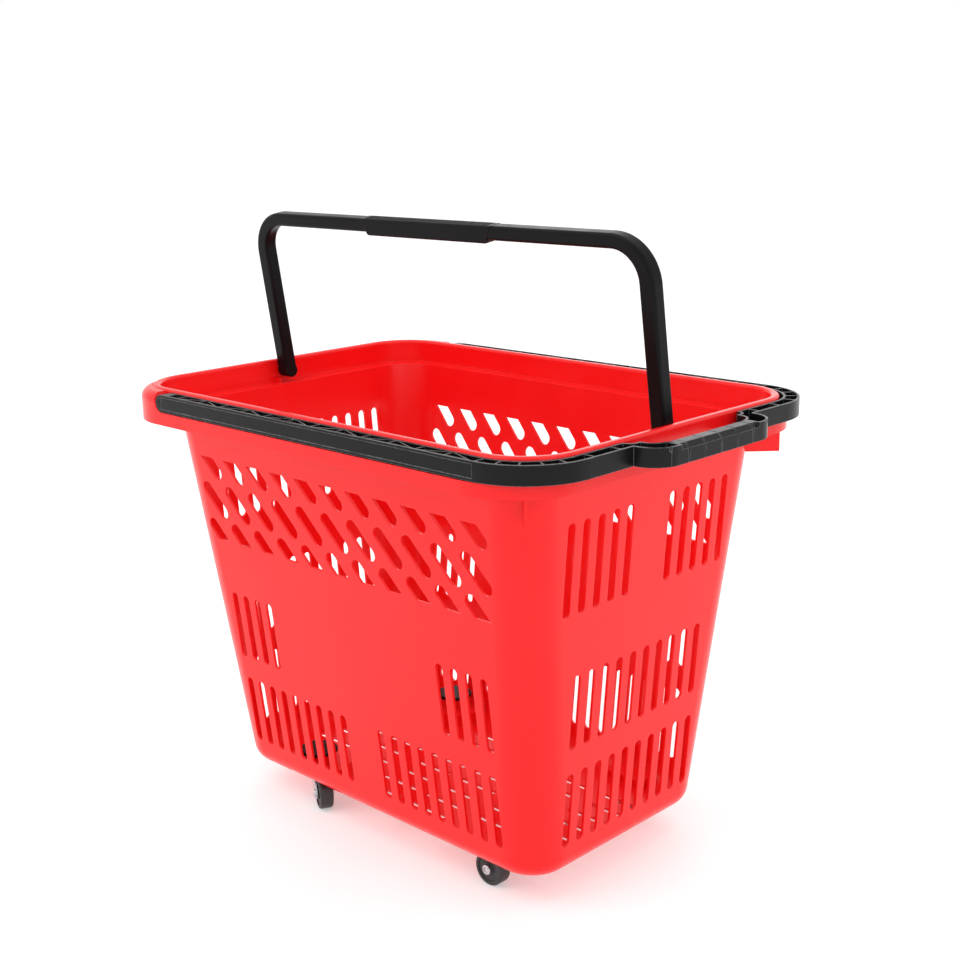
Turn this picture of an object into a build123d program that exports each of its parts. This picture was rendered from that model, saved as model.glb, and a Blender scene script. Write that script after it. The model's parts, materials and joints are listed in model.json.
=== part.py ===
from build123d import *

# Rolling shopping basket: a slotted plastic tub on two front casters and two rear wheels,
# with a carry bail that folds to either side and a long pull handle hinged at the front.
# Millimetres. +X runs from the hinge end to the pull grip, +Y across, +Z up, floor at z = 0.
# Parts are built about the tub's own middle and moved by origin_shift when they are written.

import os
from math import atan, cos, degrees, hypot, radians, sin, tan

# ---- overall sizes ----
rim_half_x = 265.0
rim_half_y = 198.0
rim_top = 423.0              # top of the bead above the ground
base_z = 27.0                # underside of the floor above the ground

# ---- rim ----
rim_corner = 63.0
bead_wide = 8.0
bead_round = 3.0
rim_wall = 2.2
mouth_half_x = rim_half_x - 11.7
mouth_half_y = rim_half_y - 23.0
mouth_corner = 45.0
block_top = rim_top - 1.2    # full-height rim at the hinge end, a little under the bead
block_round = 9.0
skirt_bottom = rim_top - 31.0

# ---- tub body ----
floor_thick = 2.6
wall = 2.4
ledge_z = rim_top - 23.0     # top of the step where the wall meets the rim
ledge_step_x = 15.55         # width of that step at the ends and at the sides
ledge_step_y = 10.96
row_z = 55.0                 # height at which the lower half sizes are taken
lean_x = 0.0868              # outward lean of the end walls, per unit of height
lean_y = 0.1204              # outward lean of the long walls
row_half_x = mouth_half_x - ledge_step_x - lean_x * (ledge_z - row_z)
row_half_y = mouth_half_y - ledge_step_y - lean_y * (ledge_z - row_z)
front_corner = 42.0          # rounding of the upright corners, hinge end and grip end
back_corner = 39.0
corner_reach = 6.0           # how far slots may run into the rounded corners
base_round = 19.0

# ---- pull handle ----
pull_pivot_x = 75.0 - rim_half_x
pull_pivot_z = rim_top - 10.0
pull_high = 16.0
pull_wide = 14.4
pull_gap = 0.4               # arm to bead, each side
pull_under = 0.8             # arm to shoulder below it
pull_end_gap = 1.3           # cross member to bead
pull_wall = 2.0
pull_corner = 62.0
pull_lift = 110.0            # degrees from resting on the rim to the stop
nose_half_y = 82.0
nose_round = 24.0
grip_reach = rim_half_x + 37.0   # outer face of the pull grip
grip_deep = 16.0
gap_half_y = 66.0
gap_round = 13.0
bay_half_y = 78.0            # finger gap where it meets the cross member
bay_deep = 8.0
groove_pitch = 22.0
groove_count = 7
groove_wide = 1.6
groove_deep = 1.2
facet = 4.2
panel_deep = 0.5             # shallow sunk panel on the outer faces of the arms
panel_edge = 2.4
inner_facet = 2.0
rib_thick = 1.4
rib_pitch = 31.0
rib_drop = 0.4               # rib tops below the wall tops

# ---- carry bail ----
pivot_z = rim_top - 11.0     # the bail turns at this height
bail_half_x = mouth_half_x - 0.6
bail_reach = mouth_half_y - 7.4  # pivot to the top of the bar
bail_y = -2.5                # both feet turn a little to the near side of the middle
bail_deep = 15.3             # legs, in the bail's own plane
bail_bar_deep = 12.9         # cross bar, in the bail's own plane
bail_thick = 14.4
bail_corner = 42.0
bail_round = 3.0
bail_tilt = 8.4              # stored lean towards -Y, degrees
bail_grip_half = 84.0        # half length on top
bail_grip_slant = 9.0        # how much shorter the underside is at each end
bail_grip_side = 0.4
bail_grip_top = 0.5
bail_grip_below = 3.0
bail_grip_shift = -3.0       # grip's middle from the bail's middle
tooth_pitch = 2.8
tooth_deep = 0.35

# ---- pivots of both handles ----
stub_radius = 4.0
running_gap = 0.06           # radial clearance of every turning fit
stub_long = 5.6
boss_half = 8.5

# ---- slot heights, as shares of the wall from floor to ledge ----
lower_slot_share = (0.0777, 0.2654)
upper_slot_share = (0.3271, 0.5121)
end_high_share = (0.6622, 0.8820)
band_share = (0.6587, 0.8847)
band_middle_share = (0.7394, 0.7968)  # slot-end centres of the middle row
band_top_share = 0.8461               # lower slot-end centre of the top row
band_low_share = 0.6960               # upper slot-end centre of the bottom row

# ---- slot widths and pitches ----
slot_wide = 8.4
long_pitch = 17.6
long_lower_first = 26.2
long_upper_count = 4
long_upper_shift = 2.1       # last upper slot beyond the last lower one
band_pitch = 34.9
band_lean = 42.0             # degrees from upright
band_radius = 6.8
end_slot_wide = 9.0
end_pitch = 18.6
end_high_first = 28.8
end_high_pitch = 18.9
floor_slot_wide = 6.0
floor_row_pitch = 22.5
floor_slot_long = 50.0
floor_slot_step = 62.0

# ---- corner gussets under the rim at the grip end ----
gusset_thick = 2.4
gusset_bottom = rim_top - 56.0
gusset_inset = 5.5

# ---- wheels ----
wheel_radius = 16.0
wheel_wide = 13.5
wheel_round = 2.2

# ---- front casters ----
swivel_x = 100.8 - row_half_x
swivel_y = row_half_y - 26.5
trail = 17.0
caster_yaw = -28.0           # stored direction of the trail, degrees from +X
fork_gap = 0.6               # wheel to fork, each side
fork_thick = 1.5
fork_top = 2.0 * wheel_radius + 4.8
fork_ear = 6.0
fork_front = 10.0
fork_back = 12.0
rivet_radius = 2.5
rivet_head = 4.2
rivet_head_thick = 1.5
stem_radius = 4.0
stem_head = stem_radius + 1.5
washer_radius = stem_radius + 6.0
washer_thick = 3.0
socket_gap = 0.4             # washer to socket
socket_radius = stem_radius + 7.0
socket_flange = socket_radius + 8.0
socket_flange_thick = 3.0
socket_long = 13.0           # height of the boss above the pocket's ceiling
pocket_radius = trail + 14.0
pocket_skin = 2.4            # wall left outside the pocket, at the floor
pocket_wall = 2.4
boss_wall = 3.0

# ---- rear wheels ----
rear_x = row_half_x - 73.3
rear_outer_y = row_half_y - 18.0
axle_radius = 3.0
axle_out = 2.0               # axle end beyond the wheel's outer face
cap_radius = axle_radius + 1.75
cap_long = 2.4
cap_gap = 0.4
rear_clear = 3.8             # pocket round the wheel
lug_thick = 4.4
lug_radius = axle_radius + 4.0
lug_inner_y = 42.0
side_gap = 0.4

# ---- worked out ----
origin_shift = -(grip_reach - rim_half_x) / 2.0
wall_x = wall / cos(atan(lean_x))
wall_y = wall / cos(atan(lean_y))
bead_half_x = mouth_half_x + bead_wide
bead_half_y = mouth_half_y + bead_wide
bead_corner = mouth_corner + bead_wide
shoulder_z = pull_pivot_z - pull_high / 2.0 - pull_under
arm_in_y = bead_half_y + pull_gap
arm_out_y = arm_in_y + pull_wide
cross_in_x = bead_half_x + pull_end_gap
cross_out_x = cross_in_x + pull_wide
grip_in_x = grip_reach - grip_deep
pull_base = pull_pivot_z - pull_high / 2.0
pull_top = pull_pivot_z + pull_high / 2.0
rear_inner_y = rear_outer_y - wheel_wide
rear_pocket_in = rear_inner_y - side_gap
fork_half_in = wheel_wide / 2.0 + fork_gap
fork_half_out = fork_half_in + fork_thick
socket_base = fork_top + washer_thick + socket_gap
pocket_ceiling = socket_base + 0.8
socket_seat = pocket_ceiling + socket_long
stem_top = socket_seat - 1.0


def half_x(z):
    """Outer half length of the tub body at height z."""
    return row_half_x + lean_x * (z - row_z)


def half_y(z):
    """Outer half width of the tub body at height z."""
    return row_half_y + lean_y * (z - row_z)


def level(share):
    """Height at a share of the wall between floor and ledge."""
    return base_z + share * (ledge_z - base_z)


def box(x0, x1, y0, y1, z0, z1):
    """Block between two corners."""
    middle = Pos((x0 + x1) / 2.0, (y0 + y1) / 2.0, (z0 + z1) / 2.0)
    return middle * Box(x1 - x0, y1 - y0, z1 - z0)


def prism(across_x, across_y, corner, z0, z1):
    """Upright block of half sizes across_x, across_y with rounded corners."""
    outline = Plane.XY.offset(z0) * RectangleRounded(2.0 * across_x, 2.0 * across_y, corner)
    return extrude(outline, amount=z1 - z0)


def rod(radius, x, y, z0, z1):
    """Upright cylinder."""
    return Pos(x, y, (z0 + z1) / 2.0) * Cylinder(radius, z1 - z0)


def cross_rod(radius, x, z, y0, y1):
    """Cylinder along Y."""
    return Pos(x, (y0 + y1) / 2.0, z) * Rot(90, 0, 0) * Cylinder(radius, abs(y1 - y0))


def long_rod(radius, y, z, x0, x1):
    """Cylinder along X."""
    return Pos((x0 + x1) / 2.0, y, z) * Rot(0, 90, 0) * Cylinder(radius, abs(x1 - x0))


def through_y(outline):
    """Solid of an outline drawn in X and Z, through both long walls."""
    reach = rim_half_y + 10.0
    return extrude(Plane.XZ.offset(-reach) * outline, amount=2.0 * reach)


def through_x(outline):
    """Solid of an outline drawn in Y and Z, through both end walls."""
    reach = rim_half_x + 10.0
    return extrude(Plane.YZ.offset(-reach) * outline, amount=2.0 * reach)


def trapezoid(half_low, half_high, z0, z1):
    """Outline with level top and bottom and leaning sides."""
    return Polygon((-half_low, z0), (half_low, z0), (half_high, z1), (-half_high, z1), align=None)


def tapered(inset, z0, z1, round_radius):
    """Leaning body with rounded corners and a rounded bottom edge."""
    inset_x = inset * wall_x / wall
    inset_y = inset * wall_y / wall
    long_side = through_y(trapezoid(half_x(z0) - inset_x, half_x(z1) - inset_x, z0, z1))
    short_side = through_x(trapezoid(half_y(z0) - inset_y, half_y(z1) - inset_y, z0, z1))
    body = long_side & short_side
    for end, corner in ((-1, front_corner), (1, back_corner)):
        edges = body.edges().filter_by(lambda edge: z0 + 1.0 < edge.center().Z < z1 - 1.0)
        body = fillet([edge for edge in edges if edge.center().X * end > 0.0], corner - inset)
    low_face = body.faces().sort_by(Axis.Z)[0]
    return fillet(low_face.edges(), round_radius)


def rebate_outline(offset):
    """Side view of the handle's rebate: round about the pivot, then along the lifted arm."""
    radius = pull_high / 2.0 + pull_under + offset
    lean = radians(pull_lift + 90.0)
    turn = (pull_pivot_x + radius * cos(lean), pull_pivot_z + radius * sin(lean))
    quarter = radians((pull_lift + 90.0 + 270.0) / 2.0)
    half_way = (pull_pivot_x + radius * cos(quarter), pull_pivot_z + radius * sin(quarter))
    low = (pull_pivot_x, pull_pivot_z - radius)
    high_z = rim_top + 20.0
    high = (turn[0] - (high_z - turn[1]) * tan(radians(pull_lift - 90.0)), high_z)
    far_x = rim_half_x + 20.0
    arc = ThreePointArc(low, half_way, turn)
    rest = Polyline(turn, high, (far_x, high_z), (far_x, pull_pivot_z - radius), low)
    return make_face([arc, rest])


def rim_ring():
    """Rim: bead round the mouth, full-height block at the hinge end, skirt, hollow below."""
    bead = prism(bead_half_x, bead_half_y, bead_corner, skirt_bottom, rim_top)
    bead -= prism(mouth_half_x, mouth_half_y, mouth_corner, skirt_bottom - 1.0, rim_top + 1.0)
    top_face = bead.faces().sort_by(Axis.Z)[-1]
    bead = fillet(top_face.edges(), bead_round)

    block = prism(rim_half_x, rim_half_y, rim_corner, skirt_bottom, block_top)
    block = fillet(block.faces().sort_by(Axis.Z)[-1].edges(), block_round)
    block -= prism(bead_half_x, bead_half_y, bead_corner, skirt_bottom - 1.0, rim_top + 1.0)
    block -= through_y(rebate_outline(0.0))
    ring = bead + block

    low = skirt_bottom - 1.0
    inner = prism(mouth_half_x + rim_wall, mouth_half_y + rim_wall, mouth_corner + rim_wall, low, rim_top)
    bead_in = prism(bead_half_x - rim_wall, bead_half_y - rim_wall, bead_corner - rim_wall,
                    low, rim_top - wall)
    skirt_in = prism(rim_half_x - wall, rim_half_y - wall, rim_corner - wall, low, shoulder_z - wall)
    block_in = prism(rim_half_x - wall, rim_half_y - wall, rim_corner - wall, low, block_top - wall)
    block_in = fillet(block_in.faces().sort_by(Axis.Z)[-1].edges(), block_round - wall)
    block_in -= through_y(rebate_outline(wall))
    ring -= (bead_in - inner)
    ring -= (skirt_in - inner)
    ring -= (block_in - inner)
    return ring


def pivot_bosses():
    """Blocks inside the rim that hold the stubs of both handles."""
    bosses = []
    for side in (-1, 1):
        x0, x1 = sorted((side * (mouth_half_x + 0.5), side * (bead_half_x - rim_wall)))
        bosses.append(box(x0, x1, bail_y - boss_half, bail_y + boss_half, ledge_z - wall, rim_top - wall))
        y0, y1 = sorted((side * (mouth_half_y + rim_wall), side * (bead_half_y - 0.5)))
        bosses.append(box(pull_pivot_x - boss_half, pull_pivot_x + boss_half, y0, y1,
                          shoulder_z - wall, rim_top - wall))
    return bosses


def pivot_holes():
    """Blind holes for the stubs of both handles."""
    radius = stub_radius + running_gap
    holes = []
    for side in (-1, 1):
        holes.append(long_rod(radius, bail_y, pivot_z, side * (mouth_half_x - 5.0),
                              side * (bail_half_x + stub_long + 0.4)))
        holes.append(cross_rod(radius, pull_pivot_x, pull_pivot_z, side * (bead_half_y + 5.0),
                               side * (arm_in_y - stub_long - 0.4)))
    return holes


def stop_bumps():
    """Small blocks on the step beside the bail's feet, under its folded height."""
    bumps = []
    top = pivot_z - bail_thick / 2.0 - 0.6
    for side in (-1, 1):
        x0, x1 = sorted((side * (mouth_half_x + 0.5), side * (bail_half_x - bail_deep / 2.0)))
        y0 = bail_y - bail_thick / 2.0 - 4.5
        bumps.append(box(x0, x1, y0, y0 + 3.5, ledge_z - 0.5, top))
    return bumps


def gusset(side):
    """Upright web across the corner of the tub, from the wall out to the skirt."""
    corner_x = half_x(ledge_z) - back_corner
    corner_y = half_y(ledge_z) - back_corner
    reach = 130.0
    web = Box(reach, gusset_thick, shoulder_z - wall - gusset_bottom)
    middle_z = (shoulder_z - wall + gusset_bottom) / 2.0
    web = Pos(corner_x, side * corner_y, middle_z) * Rot(0, 0, side * 45.0) * Pos(reach / 2.0, 0, 0) * web
    keep = prism(rim_half_x - gusset_inset, rim_half_y - gusset_inset, rim_corner - gusset_inset,
                 gusset_bottom, shoulder_z)
    return web & keep


def stadium(wide, low_high, across):
    """Outline of an upright slot with round ends."""
    low, high = level(low_high[0]), level(low_high[1])
    return Pos(across, (low + high) / 2.0) * Rot(0, 0, 90) * SlotOverall(high - low, wide)


def long_slots():
    """Cutters of the upright slots in the long walls."""
    room = half_x(level(lower_slot_share[0])) - back_corner + corner_reach - slot_wide / 2.0
    gaps = int((room - long_lower_first) / long_pitch)
    last = long_lower_first + gaps * long_pitch
    cutters = []
    for side in (-1, 1):
        for i in range(gaps + 1):
            across = side * (last - i * long_pitch)
            cutters.append(through_y(stadium(slot_wide, lower_slot_share, across)))
        for i in range(long_upper_count):
            across = side * (last + long_upper_shift - i * long_pitch)
            cutters.append(through_y(stadium(slot_wide, upper_slot_share, across)))
    return cutters


def end_slots():
    """Cutters of the upright slots in the end walls."""
    room = half_y(level(lower_slot_share[0])) - back_corner + corner_reach - end_slot_wide / 2.0
    half_count = int(room / end_pitch + 0.5)
    high_room = half_y(level(end_high_share[0])) - back_corner - end_slot_wide / 2.0
    high_gaps = int((high_room - end_high_first) / end_high_pitch)
    cutters = []
    for side in (-1, 1):
        for i in range(half_count):
            across = side * (i + 0.5) * end_pitch
            cutters.append(through_x(stadium(end_slot_wide, lower_slot_share, across)))
            cutters.append(through_x(stadium(end_slot_wide, upper_slot_share, across)))
        for i in range(high_gaps + 1):
            across = side * (end_high_first + i * end_high_pitch)
            cutters.append(through_x(stadium(end_slot_wide, end_high_share, across)))
    return cutters


def band_slots():
    """Cutters of the oblique band: three rows of leaning slots between two level lines."""
    run = tan(radians(band_lean))
    low_z, high_z = level(band_share[0]), level(band_share[1])
    middle_low, middle_high = level(band_middle_share[0]), level(band_middle_share[1])
    top_z, bottom_z = level(band_top_share), level(band_low_share)
    room = half_x(middle_low) - back_corner + corner_reach - (middle_high - middle_low) * run
    half_count = int(room / band_pitch)
    reach = 60.0
    limits = through_y(Pos(0.0, (low_z + high_z) / 2.0) * Rectangle(2.0 * rim_half_x, high_z - low_z))
    cutters = []

    def leaning(x, z0, z1):
        length = hypot(z1 - z0, (z1 - z0) * run)
        middle_x = x - (z0 + z1) / 2.0 * run
        slot = SlotCenterToCenter(length, 2.0 * band_radius)
        return Pos(middle_x, (z0 + z1) / 2.0) * Rot(0, 0, 90.0 + band_lean) * slot

    for i in range(-half_count, half_count + 1):
        column = i * band_pitch
        line = column + (middle_low + middle_high) / 2.0 * run
        cutters.append(through_y(leaning(line, middle_low, middle_high)))
        top_line = column + (middle_high - middle_low) / 2.0 * run + top_z * run
        cutters.append(through_y(leaning(top_line, top_z, top_z + reach)) & limits)
        low_line = column - (middle_high - middle_low) / 2.0 * run + bottom_z * run
        cutters.append(through_y(leaning(low_line, bottom_z - reach, bottom_z)) & limits)
    return cutters


def floor_slots():
    """Cutters of the drain slots in the floor, clear of the wheel pockets."""
    cutters = []
    pocket_reach = pocket_radius + pocket_wall + 4.0
    rows = int((half_y(base_z) - base_round) / floor_row_pitch)
    steps = int((half_x(base_z) - base_round) / floor_slot_step)
    for row in range(-rows, rows):
        y = (row + 0.5) * floor_row_pitch
        beside_pockets = abs(y) > swivel_y - pocket_reach
        for step in range(-steps, steps):
            x = (step + 0.5) * floor_slot_step
            inner = swivel_x + pocket_reach + floor_slot_long / 2.0
            outer = rear_x - wheel_radius - rear_clear - pocket_wall - 4.0 - floor_slot_long / 2.0
            if beside_pockets and not inner <= x <= outer:
                continue
            slot = Plane.XY.offset(base_z - 2.0) * Pos(x, y) * SlotOverall(floor_slot_long, floor_slot_wide)
            cutters.append(extrude(slot, amount=floor_thick + 4.0))
    return cutters


def front_pocket(side, body):
    """Round housing over a front caster, trimmed to the body, with the socket's boss."""
    y = side * swivel_y
    shell = rod(pocket_radius + pocket_wall, swivel_x, y, base_z, pocket_ceiling + pocket_wall) & body
    boss = rod(socket_radius + boss_wall, swivel_x, y, pocket_ceiling, socket_seat)
    return [shell, boss]


def front_cavity(side):
    """Space under a front housing and the bore for its socket."""
    y = side * swivel_y
    cavity = rod(pocket_radius, swivel_x, y, base_z - 10.0, pocket_ceiling)
    skin = half_y(base_z) - pocket_skin
    cavity &= box(-rim_half_x, rim_half_x, -skin, skin, 0, pocket_ceiling)
    bore = rod(socket_radius + running_gap, swivel_x, y, pocket_ceiling - 1.0, socket_seat + 1.0)
    return [cavity, bore]


def rear_pocket(side, body):
    """Housing over a rear wheel and the two lugs that carry the axle."""
    half_long = wheel_radius + rear_clear
    y0, y1 = sorted((side * (rear_pocket_in - pocket_wall), side * (rear_outer_y + rear_clear + pocket_wall)))
    top = 2.0 * wheel_radius + rear_clear
    shell = box(rear_x - half_long - pocket_wall, rear_x + half_long + pocket_wall, y0, y1,
                base_z, top + pocket_wall) & body
    pieces = [shell]
    for face_y in (rear_pocket_in, lug_inner_y + lug_thick):
        l0, l1 = sorted((side * (face_y - lug_thick), side * face_y))
        pieces.append(box(rear_x - lug_radius, rear_x + lug_radius, l0, l1, wheel_radius,
                          base_z + floor_thick / 2.0))
        pieces.append(cross_rod(lug_radius, rear_x, wheel_radius, l0, l1))
    return pieces


def rear_cavity(side):
    """Space round a rear wheel and the axle's bores."""
    half_long = wheel_radius + rear_clear
    y0, y1 = sorted((side * rear_pocket_in, side * (rear_outer_y + rear_clear)))
    top = 2.0 * wheel_radius + rear_clear
    cavity = box(rear_x - half_long, rear_x + half_long, y0, y1, base_z - 20.0, top)
    bore = cross_rod(axle_radius + running_gap, rear_x, wheel_radius, 0.0, side * (rear_pocket_in + 1.0))
    return [cavity, bore]


def basket_tub():
    """The moulded tub: walls, floor, rim, wheel housings and all its openings."""
    body = tapered(0.0, base_z, ledge_z, base_round)
    hollow = tapered(wall, base_z + floor_thick, ledge_z + 4.0, base_round - wall)
    ledge = prism(mouth_half_x + rim_wall, mouth_half_y + rim_wall, mouth_corner + rim_wall,
                  ledge_z - wall, ledge_z)
    tub = body + ledge
    for side in (-1, 1):
        tub += gusset(side)
    tub += rim_ring()
    tub -= hollow
    tub += pivot_bosses()
    tub += stop_bumps()
    for side in (-1, 1):
        tub += front_pocket(side, body)
        tub += rear_pocket(side, body)
    for side in (-1, 1):
        tub -= front_cavity(side)
        tub -= rear_cavity(side)
    tub -= pivot_holes()
    tub -= long_slots()
    tub -= end_slots()
    tub -= band_slots()
    tub -= floor_slots()
    return tub


def handle_plan():
    """Pull handle seen from above: two arms, a cross member, two noses and the grip."""
    outer = RectangleRounded(2.0 * cross_out_x, 2.0 * arm_out_y, pull_corner)
    inner = RectangleRounded(2.0 * cross_in_x, 2.0 * arm_in_y, pull_corner - pull_wide)
    nose = RectangleRounded(2.0 * grip_reach, 2.0 * nose_half_y, nose_round)
    gap = RectangleRounded(2.0 * grip_in_x, 2.0 * gap_half_y, gap_round)
    bay = RectangleRounded(2.0 * (cross_in_x + bay_deep), 2.0 * bay_half_y, bay_deep)
    keep = Pos(pull_pivot_x + rim_half_x, 0) * Rectangle(2.0 * rim_half_x, 3.0 * rim_half_y)
    keep += Pos(rim_half_x, 0) * Rectangle(rim_half_x, 3.0 * rim_half_y)
    return (outer + nose - inner - gap - bay) & keep


def handle_ribs():
    """Thin webs inside the open channel: straight ones, a zigzag between them, fans at corners."""
    ribs = []
    top = pull_top - rib_drop
    high = top - pull_base
    middle_z = (top + pull_base) / 2.0
    corner_x = cross_out_x - pull_corner
    corner_y = arm_out_y - pull_corner
    middle_y = (arm_in_y + arm_out_y) / 2.0
    first = pull_pivot_x + 24.0
    bays = int((corner_x - first) / rib_pitch)
    step = (corner_x - first) / bays
    across = pull_wide - pull_wall
    for side in (-1, 1):
        for i in range(bays + 1):
            x = first + i * step
            ribs.append(Pos(x, side * middle_y, middle_z) * Box(rib_thick, across, high))
            if i < bays:
                lean = degrees(atan(across / step)) * (1 if i % 2 else -1) * side
                length = hypot(step, across)
                web = Box(length, rib_thick * 0.7, high)
                ribs.append(Pos(x + step / 2.0, side * middle_y, middle_z) * Rot(0, 0, lean) * web)
        for i in range(1, 5):
            turn = radians(90.0 * i / 5.0)
            reach = pull_corner - pull_wide / 2.0
            x = corner_x + reach * cos(turn)
            y = side * (corner_y + reach * sin(turn))
            web = Box(across, rib_thick, high)
            ribs.append(Pos(x, y, middle_z) * Rot(0, 0, side * degrees(turn)) * web)
        middle_x = (cross_in_x + cross_out_x) / 2.0
        for y in (nose_half_y + 12.0, corner_y - 10.0):
            ribs.append(Pos(middle_x, side * y, middle_z) * Box(across, rib_thick, high))
    return ribs


def grip_cuts():
    """Cutters of the pull grip: its hollow underside, the long facets and the grooves."""
    half = gap_half_y - gap_round
    cuts = [box(grip_in_x + pull_wall, grip_reach - facet - 1.0, -half, half,
                pull_base - 1.0, pull_top - pull_wall - 1.5)]
    for edge_x, size in ((grip_reach, facet), (grip_in_x, inner_facet)):
        side = size * 2.0 ** 0.5
        cuts.append(Pos(edge_x, 0, pull_top) * Rot(0, 45, 0) * Box(side, 2.0 * half, side))
    for i in range(groove_count):
        y = (i - (groove_count - 1) / 2.0) * groove_pitch
        y0, y1 = y - groove_wide / 2.0, y + groove_wide / 2.0
        cuts.append(box(grip_reach - groove_deep, grip_reach + 1, y0, y1, pull_base - 1, pull_top))
        cuts.append(box(grip_in_x - 1, grip_reach, y0, y1, pull_top - groove_deep / 2.0, pull_top + 1))
        side = (facet + groove_deep) * 2.0 ** 0.5
        cuts.append(Pos(grip_reach, y, pull_top) * Rot(0, 45, 0) * Box(side, groove_wide, side))
    return cuts


def arm_panels():
    """Cutters of the shallow sunk panels on the outer faces of both arms."""
    plan = Plane.XY.offset(pull_base + panel_edge) * (handle_plan() - offset(handle_plan(), -panel_deep))
    band = extrude(plan, amount=pull_high - 2.0 * panel_edge)
    start = pull_pivot_x
    stop = cross_out_x - pull_corner
    panels = []
    for side in (-1, 1):
        y0, y1 = sorted((side * (arm_out_y - pull_wide / 2.0), side * (arm_out_y + 1.0)))
        panels.append(band & box(start, stop, y0, y1, 0, 2.0 * rim_top))
        radius = pull_high / 2.0 - panel_edge
        panels.append(cross_rod(radius, start, pull_pivot_z, side * (arm_out_y - panel_deep),
                                side * (arm_out_y + 1.0)))
    return panels


def pull_handle_frame():
    """Long U-shaped handle: open channel arms, two noses and a grooved grip bar."""
    plan = Plane.XY.offset(pull_base) * handle_plan()
    frame = extrude(plan, amount=pull_high)
    for side in (-1, 1):
        frame += cross_rod(pull_high / 2.0, pull_pivot_x, pull_pivot_z, side * arm_in_y, side * arm_out_y)
    channel = extrude(Plane.XY.offset(pull_base + pull_wall) * offset(handle_plan(), -pull_wall),
                      amount=pull_high)
    channel -= box(-rim_half_x, pull_pivot_x + pull_high / 2.0 + pull_wall, -rim_half_y, rim_half_y,
                   0, 2.0 * rim_top)
    grip_half = gap_half_y - gap_round
    channel -= box(grip_in_x - 1.0, grip_reach + 1.0, -grip_half - pull_wall, grip_half + pull_wall,
                   0, 2.0 * rim_top)
    frame -= channel
    frame += handle_ribs()
    frame -= arm_panels()
    frame -= grip_cuts()
    for side in (-1, 1):
        frame += cross_rod(stub_radius, pull_pivot_x, pull_pivot_z, side * (arm_in_y + 0.5),
                           side * (arm_in_y - stub_long))
    return frame


def stored(piece):
    """Lean a piece of the bail from upright to its stored tilt about the pivot."""
    return Pos(0, bail_y, pivot_z) * Rot(bail_tilt, 0, 0) * Pos(0, 0, -pivot_z) * piece


def bail_outline(inset, top_inset, low):
    """Inverted U in X and Z, open at the bottom."""
    high = pivot_z + bail_reach - top_inset
    across = 2.0 * (bail_half_x - inset)
    tall = 2.0 * (high - low)
    shape = Pos(0, low) * RectangleRounded(across, tall, bail_corner - inset)
    return shape & (Pos(0, low + tall / 4.0) * Rectangle(across + 2.0, tall / 2.0))


def carry_bail():
    """Carry bail: one bar bent to an inverted U, with round feet and pivot stubs."""
    outline = bail_outline(0.0, 0.0, pivot_z) - bail_outline(bail_deep, bail_bar_deep, pivot_z)
    bar = extrude(Plane.XZ.offset(-bail_thick / 2.0) * outline, amount=bail_thick)
    faces = bar.faces().filter_by(Axis.Y)
    long_edges = [edge for face in faces for edge in face.edges() if edge.center().Z > pivot_z + 1.0]
    bar = fillet(long_edges, bail_round)
    foot_edge = 1.2
    for side in (-1, 1):
        x0 = side * (bail_half_x - bail_deep)
        x1 = side * bail_half_x
        foot = long_rod(bail_thick / 2.0, 0.0, pivot_z, x0, x1)
        foot = fillet(foot.edges().filter_by(GeomType.CIRCLE), foot_edge)
        bar += foot
        bar += long_rod(stub_radius, 0.0, pivot_z, side * (bail_half_x - 1.0),
                        side * (bail_half_x + stub_long))
    return stored(bar)


def carry_grip():
    """Clip-on grip sleeve round the middle of the bail, toothed on top."""
    top = pivot_z + bail_reach
    low = top - bail_bar_deep
    half = bail_thick / 2.0 + bail_grip_side
    upper = bail_grip_half
    lower = bail_grip_half - bail_grip_slant
    side_view = Polygon((-lower, low - bail_grip_below), (lower, low - bail_grip_below),
                        (upper, top + bail_grip_top), (-upper, top + bail_grip_top), align=None)
    sleeve = extrude(Plane.XZ.offset(-half) * side_view, amount=2.0 * half)
    sleeve = fillet(sleeve.edges().filter_by(Axis.X), 2.2)
    bar = box(-upper - 5, upper + 5, -bail_thick / 2.0, bail_thick / 2.0, low, top)
    bar = fillet(bar.edges().filter_by(Axis.X), bail_round)
    sleeve -= bar
    sleeve -= box(-upper - 5, upper + 5, -0.4, 0.4, low - bail_grip_below - 1, low + 1)
    count = int((2.0 * lower) / tooth_pitch)
    teeth = []
    for i in range(count):
        x = (i - (count - 1) / 2.0) * tooth_pitch
        teeth.append(box(x - tooth_pitch / 4.0, x + tooth_pitch / 4.0, -half - 1, half + 1,
                         top + bail_grip_top - tooth_deep, top + bail_grip_top + 1))
    sleeve -= teeth
    return stored(Pos(bail_grip_shift, 0, 0) * sleeve)


def at_caster(side, piece):
    """Place a caster piece, built about its swivel axis with the trail along +X."""
    return Pos(swivel_x, side * swivel_y, 0) * Rot(0, 0, caster_yaw) * piece


def caster_fork():
    """Pressed steel fork: two ears down to the wheel rivet, joined by a top plate."""
    ear = Pos(trail, wheel_radius) * Circle(fork_ear)
    high = Pos((fork_back - fork_front) / 2.0, fork_top - 1.0) * Rectangle(fork_front + fork_back, 2.0)
    outline = make_hull((ear + high).edges())
    fork = extrude(Plane.XZ.offset(-fork_half_out) * outline, amount=2.0 * fork_half_out)
    fork -= box(-60, 60, -fork_half_in, fork_half_in, -1, fork_top - fork_thick)
    fork -= cross_rod(rivet_radius + 0.02, trail, wheel_radius, -fork_half_out - 1, fork_half_out + 1)
    fork -= rod(stem_radius + 0.02, 0, 0, fork_top - 5, fork_top + 5)
    return fork


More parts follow.
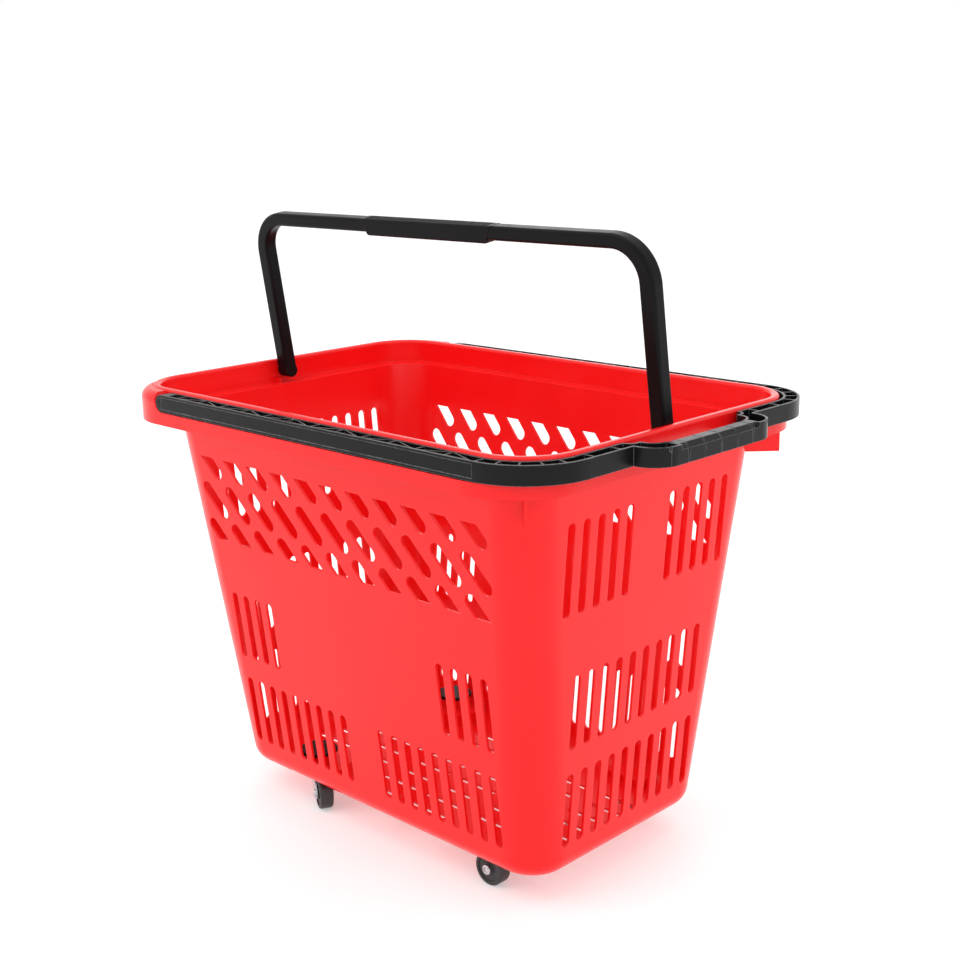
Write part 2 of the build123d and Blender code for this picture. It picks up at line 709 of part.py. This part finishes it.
def caster_axle():
    """Rivet through the fork and the wheel, with a domed head on each side."""
    axle = cross_rod(rivet_radius, trail, wheel_radius, -fork_half_out - 0.5, fork_half_out + 0.5)
    for side in (-1, 1):
        head = cross_rod(rivet_head, trail, wheel_radius, side * fork_half_out,
                         side * (fork_half_out + rivet_head_thick))
        rim = head.edges().filter_by(GeomType.CIRCLE).sort_by(Axis.Y)[0 if side < 0 else -1]
        axle += fillet(rim, rivet_head_thick * 0.8)
    return axle


def caster_stem():
    """Steel stem riveted into the fork, turning in the socket."""
    stem = rod(stem_radius, 0, 0, fork_top - fork_thick - 0.5, stem_top)
    stem = chamfer(stem.edges().sort_by(Axis.Z)[-1], 1.0)
    return stem + rod(stem_head, 0, 0, fork_top - fork_thick - 1.2, fork_top - fork_thick)


def caster_washer():
    """Thrust washer between fork and socket."""
    ring = rod(washer_radius, 0, 0, fork_top, fork_top + washer_thick)
    ring = fillet(ring.edges().filter_by(GeomType.CIRCLE).sort_by(Axis.Z)[-1], 1.0)
    return ring - rod(stem_radius + 0.2, 0, 0, fork_top - 1, fork_top + washer_thick + 1)


def caster_socket():
    """Plastic socket in the tub's boss, with a closed flange on top."""
    top = socket_seat + socket_flange_thick
    flange = rod(socket_flange, 0, 0, socket_seat, top)
    flange = fillet(flange.edges().filter_by(GeomType.CIRCLE).sort_by(Axis.Z)[-1], 1.5)
    socket = flange + rod(socket_radius, 0, 0, socket_base, socket_seat)
    return socket - rod(stem_radius + running_gap, 0, 0, socket_base - 1, stem_top + 0.6)


def wheel(bore, x, y_low):
    """Moulded wheel: rounded tread, dished sides, hub flush with the faces."""
    y_high = y_low + wheel_wide
    tyre = cross_rod(wheel_radius, x, wheel_radius, y_low, y_high)
    tyre = fillet(tyre.edges().filter_by(GeomType.CIRCLE), wheel_round)
    dish_in = 6.2
    dish_out = wheel_radius - 4.0
    for y0, y1 in ((y_low - 1.0, y_low + 1.0), (y_high - 1.0, y_high + 1.0)):
        ring = cross_rod(dish_out, x, wheel_radius, y0, y1) - cross_rod(dish_in, x, wheel_radius, y0, y1)
        tyre -= ring
    return tyre - cross_rod(bore + running_gap, x, wheel_radius, y_low - 2, y_high + 2)


def rear_axle():
    """Steel axle across the tub, carried in its four lugs."""
    reach = rear_outer_y + axle_out
    return cross_rod(axle_radius, rear_x, wheel_radius, -reach, reach)


def rear_axle_cap(side):
    """Push-on ring that keeps a rear wheel on the axle."""
    y0 = side * (rear_outer_y + cap_gap)
    y1 = side * (rear_outer_y + cap_gap + cap_long)
    cap = cross_rod(cap_radius, rear_x, wheel_radius, y0, y1)
    rim = cap.edges().filter_by(GeomType.CIRCLE).sort_by(Axis.Y)[0 if side < 0 else -1]
    cap = fillet(rim, 1.0)
    return cap - cross_rod(axle_radius + 0.02, rear_x, wheel_radius, y0 - side, y1 + side)


def all_parts():
    """Every node of the basket, by name."""
    parts = {
        "basket_tub": basket_tub(),
        "pull_handle_frame": pull_handle_frame(),
        "carry_bail": carry_bail(),
        "carry_grip": carry_grip(),
        "rear_axle": rear_axle(),
    }
    for side, name in ((-1, "near"), (1, "far")):
        parts["caster_socket_" + name] = at_caster(side, caster_socket())
        parts["caster_fork_" + name] = at_caster(side, caster_fork())
        parts["caster_stem_" + name] = at_caster(side, caster_stem())
        parts["caster_washer_" + name] = at_caster(side, caster_washer())
        parts["caster_axle_" + name] = at_caster(side, caster_axle())
        parts["front_wheel_" + name] = at_caster(side, wheel(rivet_radius, trail, -wheel_wide / 2.0))
        low = rear_inner_y if side > 0 else -rear_outer_y
        parts["rear_wheel_" + name] = wheel(axle_radius, rear_x, low)
        parts["rear_axle_cap_" + name] = rear_axle_cap(side)
    return parts


os.makedirs("parts", exist_ok=True)
for name, part in all_parts().items():
    export_step(Pos(origin_shift, 0, 0) * part, os.path.join("parts", name + ".step"))
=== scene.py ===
"""Rolling shopping basket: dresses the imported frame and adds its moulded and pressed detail."""

import json
import logging
import math
from dataclasses import dataclass, field
from enum import Enum

import bpy
from mathutils import Matrix, Vector


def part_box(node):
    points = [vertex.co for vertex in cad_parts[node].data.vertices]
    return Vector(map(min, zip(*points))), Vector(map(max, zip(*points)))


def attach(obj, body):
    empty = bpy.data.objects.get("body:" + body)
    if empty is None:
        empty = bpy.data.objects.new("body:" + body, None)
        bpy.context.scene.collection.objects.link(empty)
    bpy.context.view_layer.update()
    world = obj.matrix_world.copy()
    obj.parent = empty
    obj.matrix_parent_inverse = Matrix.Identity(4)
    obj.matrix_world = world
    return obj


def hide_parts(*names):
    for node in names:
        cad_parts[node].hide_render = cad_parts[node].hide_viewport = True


Mesh = bpy.types.Mesh
Object = bpy.types.Object
Socket = bpy.types.NodeSocket

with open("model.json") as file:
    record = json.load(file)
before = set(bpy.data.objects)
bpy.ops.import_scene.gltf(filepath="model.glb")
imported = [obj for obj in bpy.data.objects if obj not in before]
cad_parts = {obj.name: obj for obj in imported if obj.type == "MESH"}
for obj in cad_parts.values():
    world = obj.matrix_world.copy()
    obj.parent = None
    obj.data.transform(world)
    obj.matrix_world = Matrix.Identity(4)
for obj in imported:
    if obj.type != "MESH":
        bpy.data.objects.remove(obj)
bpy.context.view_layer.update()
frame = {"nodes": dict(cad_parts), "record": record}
SHARP_TURN = 0.86               # softened against true normal, where an edge takes the full edge colour: rub wear and painted edge highlight
NO_TURN = 0.995                 # and where a face counts as flat
BEVEL_SAMPLES = 4
TOOTH_SIDES = 10
WHITE = (1.0, 1.0, 1.0, 1.0)
log = logging.getLogger("basket")

RGB = tuple[float, float, float]
Place = tuple[float, float, float]


class Side(Enum):
    """Which long side of the basket a piece belongs to."""

    NEAR = "near"
    FAR = "far"


class Grain(Enum):
    """Surface texture left by a mould."""

    POLISHED = 0.02
    SATIN = 0.10
    STIPPLED = 0.22


# ---------------------------------------------------------------- finishes


class NodeCanvas:
    """A node tree that nodes are added to and joined in."""

    def __init__(self, tree: bpy.types.NodeTree) -> None:
        """Keeps the tree.

        Args:
            tree: The tree to add to.
        """
        self.tree = tree

    def feed(self, socket: Socket, value: object) -> None:
        """Links a socket to another, or sets its value.

        Args:
            socket: The input to fill.
            value: A socket to link, or a plain value.
        """
        if isinstance(value, Socket):
            self.tree.links.new(value, socket)
        else:
            socket.default_value = value

    def add(self, kind: str, **inputs: object) -> bpy.types.Node:
        """Adds one node.

        Args:
            kind: The node's type name.
            inputs: Values by input name, with underscores for spaces; a socket is linked.

        Returns:
            The new node.
        """
        node = self.tree.nodes.new(kind)
        for key, value in inputs.items():
            self.feed(node.inputs[key.replace("_", " ")], value)
        return node

    def maths(self, operation: str, first: object, second: object) -> Socket:
        """Joins two values by one operation."""
        node = self.tree.nodes.new("ShaderNodeMath")
        node.operation = operation
        for socket, value in zip(node.inputs, (first, second)):
            self.feed(socket, value)
        return node.outputs[0]


class NodeGraph(NodeCanvas):
    """The node tree of a material."""

    def __init__(self, name: str) -> None:
        """Makes an empty material.

        Args:
            name: Name of the new material.
        """
        self.material = bpy.data.materials.new(name)
        self.material.use_nodes = True
        super().__init__(self.material.node_tree)
        self.tree.nodes.clear()

    def place(self) -> Socket:
        """Returns the socket with the point's place on the object."""
        return self.add("ShaderNodeTexCoord").outputs["Object"]

    def noise(self, scale: float, detail: float = 3.0, roughness: float = 0.5) -> Socket:
        """Adds a noise on the object's own coordinates.

        Args:
            scale: Waves per metre.
            detail: Octaves.
            roughness: Strength of the finer octaves.

        Returns:
            The noise value's socket.
        """
        node = self.add("ShaderNodeTexNoise", Vector=self.place(), Scale=scale, Detail=detail,
                        Roughness=roughness)
        return node.outputs["Fac"]

    def ramp(self, value: Socket, low: float, high: float, start: float = 0.3,
             end: float = 0.7) -> Socket:
        """Maps a value from a range to another.

        Args:
            value: The socket to map.
            low: Result at start.
            high: Result at end.
            start: Lower end of the input range.
            end: Upper end of the input range.

        Returns:
            The result's socket.
        """
        node = self.add("ShaderNodeMapRange", Value=value)
        for key, number in (("From Min", start), ("From Max", end), ("To Min", low), ("To Max", high)):
            node.inputs[key].default_value = number
        return node.outputs["Result"]

    def blend(self, amount: Socket, first: object, second: object) -> Socket:
        """Mixes two colours.

        Args:
            amount: Share of the second colour.
            first: Colour or socket at 0.
            second: Colour or socket at 1.

        Returns:
            The mixed colour's socket.
        """
        node = self.tree.nodes.new("ShaderNodeMix")
        node.data_type = "RGBA"
        self.tree.links.new(amount, node.inputs[0])
        for socket, value in ((node.inputs[6], first), (node.inputs[7], second)):
            self.feed(socket, value if isinstance(value, Socket) else (*value, 1.0))
        return node.outputs[2]

    def edges(self, radius: float, normal: Socket | None = None) -> Socket:
        """Finds sharp edges by comparing the softened normal with the true one.

        Args:
            radius: Width of the softened edge in metres.
            normal: Softened normal, if the graph already has one.

        Returns:
            A socket that is near 1 on an edge and 0 elsewhere.
        """
        soft = normal or self.soft_normal(radius)
        true = self.add("ShaderNodeNewGeometry").outputs["Normal"]
        dot = self.tree.nodes.new("ShaderNodeVectorMath")
        dot.operation = "DOT_PRODUCT"
        self.tree.links.new(soft, dot.inputs[0])
        self.tree.links.new(true, dot.inputs[1])
        return self.ramp(dot.outputs["Value"], 1.0, 0.0, SHARP_TURN, NO_TURN)

    def soft_normal(self, radius: float) -> Socket:
        """Returns a normal that rounds sharp edges over the given radius in metres."""
        node = self.add("ShaderNodeBevel", Radius=radius)
        node.samples = BEVEL_SAMPLES
        return node.outputs["Normal"]

    def bump(self, height: Socket, distance: float, strength: float,
             normal: Socket | None = None) -> Socket:
        """Adds a bump.

        Args:
            height: Height socket.
            distance: Depth in metres.
            strength: Share of the full effect.
            normal: Normal to disturb.

        Returns:
            The disturbed normal's socket.
        """
        node = self.add("ShaderNodeBump", Height=height, Distance=distance, Strength=strength)
        if normal is not None:
            self.tree.links.new(normal, node.inputs["Normal"])
        return node.outputs["Normal"]

    def finish(self, **inputs: object) -> bpy.types.Material:
        """Adds the shader and the output.

        Args:
            inputs: The shader's values by input name.

        Returns:
            The finished material.
        """
        shader = self.add("ShaderNodeBsdfPrincipled", **inputs)
        output = self.add("ShaderNodeOutputMaterial")
        self.tree.links.new(shader.outputs["BSDF"], output.inputs["Surface"])
        return self.material


@dataclass(frozen=True)
class MouldedPlastic:
    """Injection-moulded polymer: faint mottling, edges lightened for rub wear and as a painted edge
    highlight, and a fine mould texture.
    """

    name: str
    colour: RGB
    deep: RGB
    # edge colour: rub wear and painted edge highlight
    rubbed_and_highlight: RGB
    roughness: float
    grain: Grain
    edge_radius: float = 0.0005
    shine: float = 0.5
    mottle_scale: float = 9.0
    wear_scale: float = 160.0
    sheen_scale: float = 45.0
    grain_scale: float = 1400.0
    grain_deep: float = 0.00008
    wave_scale: float = 14.0        # slow waviness of a large moulded wall
    wave_deep: float = 0.0006
    wave_share: float = 0.05

    def build(self) -> bpy.types.Material:
        """Returns the material."""
        graph = NodeGraph(self.name)
        soft = graph.soft_normal(self.edge_radius)
        mottled = graph.blend(graph.ramp(graph.noise(self.mottle_scale), 0.0, 1.0), self.colour, self.deep)
        patchy = graph.ramp(graph.noise(self.wear_scale), 0.25, 0.85)
        # Sharp edges take the lighter edge colour in patches: rub wear and a painted edge highlight.
        rubbed_and_highlight_mask = graph.maths("MULTIPLY", graph.edges(self.edge_radius, soft), patchy)
        colour = graph.blend(rubbed_and_highlight_mask, mottled, self.rubbed_and_highlight)
        rough = graph.ramp(graph.noise(self.sheen_scale, 5.0), self.roughness * 0.85, self.roughness * 1.2)
        normal = graph.bump(graph.noise(self.grain_scale, 2.0), self.grain_deep, self.grain.value, soft)
        normal = graph.bump(graph.noise(self.wave_scale, 1.0), self.wave_deep, self.wave_share, normal)
        return graph.finish(Base_Color=colour, Roughness=rough, Normal=normal, IOR=1.49,
                            Specular_IOR_Level=self.shine)


@dataclass(frozen=True)
class ZincPlate:
    """Bright zinc-plated steel with faint crystalline clouding and fine rub marks."""

    name: str = "zinc_plate"
    bright: RGB = (0.66, 0.67, 0.69)
    dull: RGB = (0.42, 0.43, 0.46)
    # edge colour: rub wear and painted edge highlight
    rubbed_and_highlight: RGB = (0.85, 0.85, 0.86)
    roughness: float = 0.28
    edge_radius: float = 0.0003
    cloud_scale: float = 240.0
    rub_scale: float = 600.0
    grain_scale: float = 2600.0
    grain_deep: float = 0.00004
    grain_share: float = 0.2

    def build(self) -> bpy.types.Material:
        """Returns the material."""
        graph = NodeGraph(self.name)
        cloud = graph.ramp(graph.noise(self.cloud_scale, 4.0), 0.0, 1.0, 0.35, 0.75)
        soft = graph.soft_normal(self.edge_radius)
        plated = graph.blend(cloud, self.bright, self.dull)
        # Sharp edges take the brighter edge colour: rub wear and a painted edge highlight.
        colour = graph.blend(graph.edges(self.edge_radius, soft), plated, self.rubbed_and_highlight)
        rough = graph.ramp(graph.noise(self.rub_scale), self.roughness * 0.7, self.roughness * 1.5)
        normal = graph.bump(graph.noise(self.grain_scale, 2.0), self.grain_deep, self.grain_share, soft)
        return graph.finish(Base_Color=colour, Roughness=rough, Normal=normal, Metallic=1.0)


@dataclass(frozen=True)
class StudioFloor:
    """Matt pale sweep with a barely visible paper tooth."""

    name: str = "studio_floor"
    tone: RGB = (0.74, 0.74, 0.74)
    shaded: float = 0.985           # darkest part of the tooth against the tone
    tooth_scale: float = 3.0
    glow: float = 0.36              # lit from below, as a light table is

    def build(self) -> bpy.types.Material:
        """Returns the material."""
        graph = NodeGraph(self.name)
        tooth = graph.ramp(graph.noise(self.tooth_scale), 0.0, 1.0)
        tone = graph.blend(tooth, self.tone, tuple(value * self.shaded for value in self.tone))
        return graph.finish(Base_Color=tone, Roughness=0.9, Emission_Color=WHITE,
                            Emission_Strength=self.glow)


# Each edge colour below is partly rub wear and partly a painted edge highlight; on the red it stays close to
# the base colour.
RED = MouldedPlastic(name="red_polypropylene", colour=(0.90, 0.008, 0.009), deep=(0.84, 0.006, 0.007),
                     rubbed_and_highlight=(0.94, 0.014, 0.013), roughness=0.22, grain=Grain.POLISHED,
                     edge_radius=0.0009, shine=0.30)
BAIL_BLACK = MouldedPlastic(name="bail_moulding", colour=(0.0035, 0.0035, 0.004),
                            deep=(0.006, 0.006, 0.0065), rubbed_and_highlight=(0.11, 0.11, 0.115), roughness=0.30,
                            grain=Grain.SATIN, edge_radius=0.0006, shine=0.10)
# The handle's light grey edge colour is mainly a painted edge highlight.
HANDLE_BLACK = MouldedPlastic(name="handle_moulding", colour=(0.004, 0.004, 0.0045),
                              deep=(0.008, 0.008, 0.0085), rubbed_and_highlight=(0.40, 0.40, 0.41), roughness=0.28,
                              grain=Grain.SATIN, edge_radius=0.0008, shine=0.16)
WHEEL = MouldedPlastic(name="wheel_moulding", colour=(0.015, 0.015, 0.016), deep=(0.028, 0.028, 0.03),
                       rubbed_and_highlight=(0.10, 0.10, 0.10), roughness=0.45, grain=Grain.STIPPLED)
ZINC = ZincPlate()


def dress(node: str, material: bpy.types.Material) -> None:
    """Gives a frame node its finish.

    Args:
        node: The node's name.
        material: The finish.
    """
    piece = frame["nodes"][node]
    if not piece.material_slots:
        piece.data.materials.append(material)
    for slot in piece.material_slots:
        slot.material = material
    log.info("dressed %s with %s", node, material.name)


def settle(name: str, mesh: Mesh, body: str, stands_for: str | None = None) -> Object:
    """Puts a finished mesh in the scene and fastens it to its body.

    Args:
        name: The new piece's name.
        mesh: Its mesh, already in place.
        body: The body that it moves with.
        stands_for: A frame node that it is shown in place of.

    Returns:
        The new piece.
    """
    piece = bpy.data.objects.new(name, mesh)
    bpy.context.scene.collection.objects.link(piece)
    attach(piece, body)
    if stands_for:
        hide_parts(stands_for)
    log.info("made %s, %d faces, on %s", name, len(mesh.polygons), body)
    return piece


# ---------------------------------------------------------------- node trees


class ShapeTree(NodeCanvas):
    """A geometry node tree with named inputs, ending in Realize Instances and Set Material."""

    def __init__(self, name: str) -> None:
        """Makes a tree with only its group nodes.

        Args:
            name: Name of the new tree.
        """
        super().__init__(bpy.data.node_groups.new(name, "GeometryNodeTree"))
        self.tree.interface.new_socket("Geometry", in_out="OUTPUT", socket_type="NodeSocketGeometry")
        self.entry = self.tree.nodes.new("NodeGroupInput")
        self.exit = self.tree.nodes.new("NodeGroupOutput")
        self.sizes: dict[str, str] = {}

    def size(self, name: str, kind: str = "NodeSocketFloat") -> Socket:
        """Adds a named input.

        Args:
            name: The input's name.
            kind: Its socket type.

        Returns:
            The socket that carries it inside the tree.
        """
        item = self.tree.interface.new_socket(name, in_out="INPUT", socket_type=kind)
        self.sizes[name] = item.identifier
        return self.entry.outputs[name]

    def vector(self, x: object = 0.0, y: object = 0.0, z: object = 0.0) -> Socket:
        """Joins three values into a vector."""
        return self.add("ShaderNodeCombineXYZ", X=x, Y=y, Z=z).outputs["Vector"]

    def centred(self, count: Socket, pitch: Socket) -> Socket:
        """Returns where a row of count points at the given pitch starts, so that it is centred."""
        return self.maths("MULTIPLY", self.maths("MULTIPLY", self.maths("SUBTRACT", count, 1.0), -0.5), pitch)

    def close(self, geometry: Socket, material: bpy.types.Material) -> None:
        """Ends the tree.

        Args:
            geometry: The geometry to give out.
            material: The finish of everything in it.
        """
        real = self.add("GeometryNodeRealizeInstances", Geometry=geometry)
        dressed = self.add("GeometryNodeSetMaterial", Geometry=real.outputs["Geometry"], Material=material)
        self.tree.links.new(dressed.outputs["Geometry"], self.exit.inputs[0])

    def make(self, place: Matrix, **sizes: float) -> Mesh:
        """Runs the tree with the given sizes.

        Args:
            place: Where the result goes.
            sizes: Values by input name, with underscores for spaces.

        Returns:
            A plain mesh, in place.
        """
        holder = bpy.data.objects.new("holder", bpy.data.meshes.new("holder"))
        bpy.context.scene.collection.objects.link(holder)
        modifier = holder.modifiers.new("shape", "NODES")
        modifier.node_group = self.tree
        for key, value in sizes.items():
            modifier[self.sizes[key.replace("_", " ")]] = value
        graph = bpy.context.evaluated_depsgraph_get()
        mesh = bpy.data.meshes.new_from_object(holder.evaluated_get(graph), depsgraph=graph)
        holder.modifiers.remove(modifier)
        bpy.data.objects.remove(holder)
        mesh.transform(place)
        return mesh


def tooth_row(material: bpy.types.Material) -> ShapeTree:
    """Builds the tree of a row of half-sunk round teeth along X, each lying across in Y.

    Args:
        material: The teeth's finish.

    Returns:
        The finished tree.
    """
    shape = ShapeTree("tooth_row")
    count = shape.size("Count", "NodeSocketInt")
    pitch, across, radius = shape.size("Pitch"), shape.size("Across"), shape.size("Radius")
    line = shape.add("GeometryNodeMeshLine", Count=count, Offset=shape.vector(pitch),
                     Start_Location=shape.vector(shape.centred(count, pitch)))
    tooth = shape.add("GeometryNodeMeshCylinder", Vertices=TOOTH_SIDES, Radius=radius, Depth=across)
    row = shape.add("GeometryNodeInstanceOnPoints", Points=line.outputs["Mesh"],
                    Instance=tooth.outputs["Mesh"], Rotation=(math.pi / 2.0, 0.0, 0.0))
    shape.close(row.outputs["Instances"], material)
    return shape


def web_row(material: bpy.types.Material) -> ShapeTree:
    """Builds the tree of a row of upright webs along Y.

    Args:
        material: The webs' finish.

    Returns:
        The finished tree.
    """
    shape = ShapeTree("web_row")
    count = shape.size("Count", "NodeSocketInt")
    pitch, across = shape.size("Pitch"), shape.size("Across")
    thick, high = shape.size("Thickness"), shape.size("Height")
    line = shape.add("GeometryNodeMeshLine", Count=count, Offset=shape.vector(0.0, pitch),
                     Start_Location=shape.vector(0.0, shape.centred(count, pitch)))
    web = shape.add("GeometryNodeMeshCube", Size=shape.vector(across, thick, high))
    row = shape.add("GeometryNodeInstanceOnPoints", Points=line.outputs["Mesh"],
                    Instance=web.outputs["Mesh"])
    shape.close(row.outputs["Instances"], material)
    return shape


def joint(name: str) -> dict:
    """Returns the record's entry for a joint."""
    return next(item for item in frame["record"]["behaviour"]["joints"] if item["name"] == name)


# ---------------------------------------------------------------- sub-assemblies


@dataclass
class Tub:
    """The slotted red tub."""

    finish: MouldedPlastic = RED

    def build(self) -> None:
        """Dresses the tub."""
        dress("basket_tub", self.finish.build())


@dataclass
class CarryHandle:
    """The folding bail and the toothed sleeve clipped round its middle."""

    finish: MouldedPlastic = BAIL_BLACK
    reach: float = 0.1676           # pivot to the top of the bar
    bar_half: float = 0.0072        # half thickness of the bar
    bar_deep: float = 0.0129
    bar_round: float = 0.003
    skin: float = 0.0004            # sleeve beside the bar
    skin_top: float = 0.00015       # sleeve over the bar, between the teeth
    keel: float = 0.003             # sleeve under the bar
    slit: float = 0.0004            # half width of the slit underneath
    outer_round: float = 0.0022
    half_top: float = 0.084
    half_low: float = 0.075
    shift: float = -0.003           # sleeve's middle from the bail's middle
    corner_steps: int = 6
    teeth: int = 72
    tooth_pitch: float = 0.0022
    tooth_radius: float = 0.00055
    tooth_rise: float = 0.00034

    def build(self) -> None:
        """Dresses the bail and makes the sleeve."""
        material = self.finish.build()
        dress("carry_bail", material)
        dress("carry_grip", material)
        mesh = self.sleeve()
        mesh.materials.append(material)
        settle("grip_sleeve", mesh, "carry_handle", "carry_grip")
        place = self.place() @ Matrix.Translation((0.0, 0.0, self.reach + self.skin_top
                                                   + self.tooth_rise - self.tooth_radius))
        teeth = tooth_row(material).make(place, Count=self.teeth, Pitch=self.tooth_pitch,
                                         Across=2.0 * (self.bar_half + self.skin - self.outer_round),
                                         Radius=self.tooth_radius)
        settle("grip_teeth", teeth, "carry_handle")

    def place(self) -> Matrix:
        """Returns the stored place of the upright bail's middle, from its hinge."""
        hinge = joint("carry_handle_tilt")
        lean = math.radians(90.0 - hinge["range_deg"][1])
        middle = Vector(hinge["pos_m"]) + Vector((self.shift, 0.0, 0.0))
        return Matrix.Translation(middle) @ Matrix.Rotation(lean, 4, "X")

    def corner_loop(self, half: float, low: float, high: float, radius: float) -> list[tuple[float, float]]:
        """Goes round a rounded rectangle from one side of the slit to the other.

        Args:
            half: Half width.
            low: Height of the underside.
            high: Height of the top.
            radius: Corner radius.

        Returns:
            Points across and up, counter-clockwise.
        """
        loop = [(self.slit, low)]
        for turn, (side, level) in enumerate(((1, low + radius), (1, high - radius),
                                              (-1, high - radius), (-1, low + radius))):
            for step in range(self.corner_steps + 1):
                angle = math.radians(90.0 * (turn - 1 + step / self.corner_steps))
                loop.append((side * (half - radius) + radius * math.cos(angle),
                             level + radius * math.sin(angle)))
        return loop + [(-self.slit, low)]

    def sleeve(self) -> Mesh:
        """Makes the slit sleeve with its slanted ends."""
        low = self.reach - self.bar_deep
        bottom, top = low - self.keel, self.reach + self.skin_top
        outer = self.corner_loop(self.bar_half + self.skin, bottom, top, self.outer_round)
        inner = self.corner_loop(self.bar_half, low, self.reach, self.bar_round)
        count = len(outer)
        points = []
        for end in (-1, 1):
            for across, up in outer + inner:
                share = (up - bottom) / (top - bottom)
                half = self.half_low + (self.half_top - self.half_low) * share
                points.append((end * half, across, up))
        far = 2 * count
        faces = []
        for i in range(count - 1):
            j = i + 1
            faces.append((i, j, far + j, far + i))
            faces.append((count + j, count + i, far + count + i, far + count + j))
            faces.append((j, i, count + i, count + j))
            faces.append((far + i, far + j, far + count + j, far + count + i))
        for i, flip in ((0, False), (count - 1, True)):
            lip = (i, far + i, far + count + i, count + i)
            faces.append(tuple(reversed(lip)) if flip else lip)
        mesh = bpy.data.meshes.new("grip_sleeve")
        mesh.from_pydata(points, [], faces)
        mesh.transform(self.place())
        return mesh


@dataclass
class PullHandle:
    """The long hinged handle and the webs in its grip's hollow underside."""

    finish: MouldedPlastic = HANDLE_BLACK
    grip_deep: float = 0.016
    grip_wall: float = 0.002
    facet: float = 0.0052
    roof: float = 0.0035
    web_count: int = 5
    web_pitch: float = 0.0176
    web_thick: float = 0.0012
    recess: float = 0.0006          # webs above the grip's lower edge

    def build(self) -> None:
        """Dresses the handle and makes the webs."""
        material = self.finish.build()
        dress("pull_handle_frame", material)
        low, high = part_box("pull_handle_frame")
        inner = high[0] - self.grip_deep + self.grip_wall
        outer = high[0] - self.facet
        bottom, top = low[2] + self.recess, high[2] - self.roof
        middle = Matrix.Translation(((inner + outer) / 2.0, 0.0, (bottom + top) / 2.0))
        webs = web_row(material).make(middle, Count=self.web_count, Pitch=self.web_pitch,
                                      Across=outer - inner, Thickness=self.web_thick, Height=top - bottom)
        settle("grip_webs", webs, "pull_handle")


@dataclass
class RunningGear:
    """Front casters, rear axle and all four wheels."""

    plastic: MouldedPlastic = BAIL_BLACK
    tread: MouldedPlastic = WHEEL
    steel: ZincPlate = ZINC

    def build(self) -> None:
        """Dresses every wheel and steel part."""
        plastic, tread, steel = self.plastic.build(), self.tread.build(), self.steel.build()
        dress("rear_axle", steel)
        for side in Side:
            dress(f"caster_socket_{side.value}", plastic)
            for part in ("caster_fork", "caster_stem", "caster_washer", "caster_axle", "rear_axle_cap"):
                dress(f"{part}_{side.value}", steel)
            for end in ("front", "rear"):
                dress(f"{end}_wheel_{side.value}", tread)


# ---------------------------------------------------------------- studio


@dataclass
class Studio:
    """Pale sweep, soft lights and the camera."""

    lens: float = 54.98
    sensor: float = 36.0
    camera_place: Place = (0.9407, -0.9535, 0.6772)
    right: Place = (0.71947, 0.69433, -0.01643)
    up: Place = (-0.16038, 0.18911, 0.96877)
    floor_size: float = 30.0
    clip_start: float = 0.05
    clip_end: float = 60.0
    aim: Place = (0.0, 0.0, 0.25)   # where the lamps point
    surround: float = 1.0
    lights: list[tuple[str, Place, float, float]] = field(default_factory=lambda: [
        ("key", (-0.9, -2.2, 2.6), 2.2, 22.0),
        ("side", (2.9, -0.6, 1.5), 2.0, 9.0),
        ("top", (0.1, 0.3, 3.2), 2.6, 16.0),
        ("back", (-1.6, 2.6, 1.6), 2.0, 8.0),
    ])

    def build(self) -> None:
        """Makes the floor, the lights, the surroundings and the camera."""
        self.sweep()
        for name, place, size, power in self.lights:
            self.lamp(name, place, size, power)
        self.surroundings()
        self.camera()

    def sweep(self) -> None:
        """Makes the floor."""
        mesh = bpy.data.meshes.new("studio_floor")
        half = self.floor_size / 2.0
        corners = [(-half, -half, 0.0), (half, -half, 0.0), (half, half, 0.0), (-half, half, 0.0)]
        mesh.from_pydata(corners, [], [(0, 1, 2, 3)])
        mesh.materials.append(StudioFloor().build())
        floor = bpy.data.objects.new("studio_floor", mesh)
        bpy.context.scene.collection.objects.link(floor)

    def lamp(self, name: str, place: Place, size: float, power: float) -> None:
        """Adds one soft light aimed at the basket.

        Args:
            name: Its name.
            place: Where it hangs.
            size: Edge of its square face in metres.
            power: Power in watts.
        """
        data = bpy.data.lights.new(name, "AREA")
        data.size = size
        data.energy = power
        lamp = bpy.data.objects.new(name, data)
        lamp.location = place
        towards = Vector(self.aim) - Vector(place)
        lamp.rotation_euler = towards.to_track_quat("-Z", "Y").to_euler()
        bpy.context.scene.collection.objects.link(lamp)

    def surroundings(self) -> None:
        """Sets a plain bright world."""
        world = bpy.data.worlds.new("studio")
        world.use_nodes = True
        background = world.node_tree.nodes["Background"]
        background.inputs["Color"].default_value = WHITE
        background.inputs["Strength"].default_value = self.surround
        bpy.context.scene.world = world
        bpy.context.scene.view_settings.view_transform = "Standard"

    def camera(self) -> None:
        """Adds the camera."""
        data = bpy.data.cameras.new("camera")
        data.lens = self.lens
        data.sensor_width = self.sensor
        data.clip_start = self.clip_start
        data.clip_end = self.clip_end
        right, up = Vector(self.right).normalized(), Vector(self.up).normalized()
        back = right.cross(up).normalized()
        turn = Matrix((right, up, back)).transposed().to_4x4()
        camera = bpy.data.objects.new("camera", data)
        camera.matrix_world = Matrix.Translation(self.camera_place) @ turn
        bpy.context.scene.collection.objects.link(camera)
        bpy.context.scene.camera = camera


def main() -> None:
    """Builds every sub-assembly in order."""
    logging.basicConfig(level=logging.INFO, format="%(name)s: %(message)s")
    for part in (Tub(), CarryHandle(), PullHandle(), RunningGear(), Studio()):
        part.build()
        log.info("built %s", type(part).__name__)


if __name__ == "__main__":
    main()
